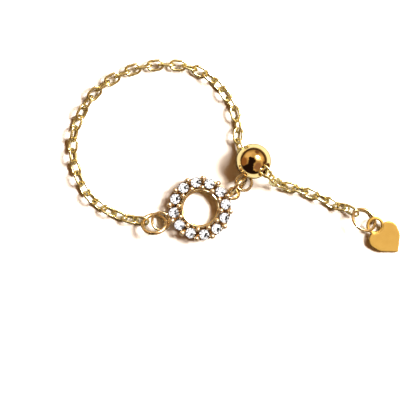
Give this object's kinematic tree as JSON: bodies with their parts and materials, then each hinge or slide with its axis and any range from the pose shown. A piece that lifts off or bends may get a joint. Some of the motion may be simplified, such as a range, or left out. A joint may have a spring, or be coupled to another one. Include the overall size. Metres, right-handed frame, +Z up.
{
  "type": "adjustable chain ring",
  "caption": "Adjustable finger ring of fine cable chain with a round halo of set stones, a slider ball and a heart tag on its tail.",
  "frame": {"origin": "on the table under the middle of the whole piece's box, as the ring lies open and flat", "axes": "+Z up from the table; +X to the right along the tail, towards the heart tag; +Y away from the halo, towards the far side of the chain loop"},
  "size_m": [0.0377, 0.0219, 0.004],
  "materials": {
    "plated_gold": "mirror-polished gold plating",
    "satin_gold": "satin gold plating",
    "clear_stone": "cut and polished clear stone",
    "silicone": "cloudy silicone"
  },
  "bodies": {
    "root": {"halo_setting": "plated_gold", "left_jump_ring": "plated_gold", "right_jump_ring": "plated_gold", "slider_ball": "plated_gold", "chain": "plated_gold", "end_jump_ring": "plated_gold", "stone_01": "clear_stone", "stone_02": "clear_stone", "stone_03": "clear_stone", "stone_04": "clear_stone", "stone_05": "clear_stone", "stone_06": "clear_stone", "stone_07": "clear_stone", "stone_08": "clear_stone", "stone_09": "clear_stone", "stone_10": "clear_stone", "stone_11": "clear_stone", "stone_12": "clear_stone", "stopper_core": "silicone", "heart_tag": "satin_gold"}
  },
  "joints": []
}
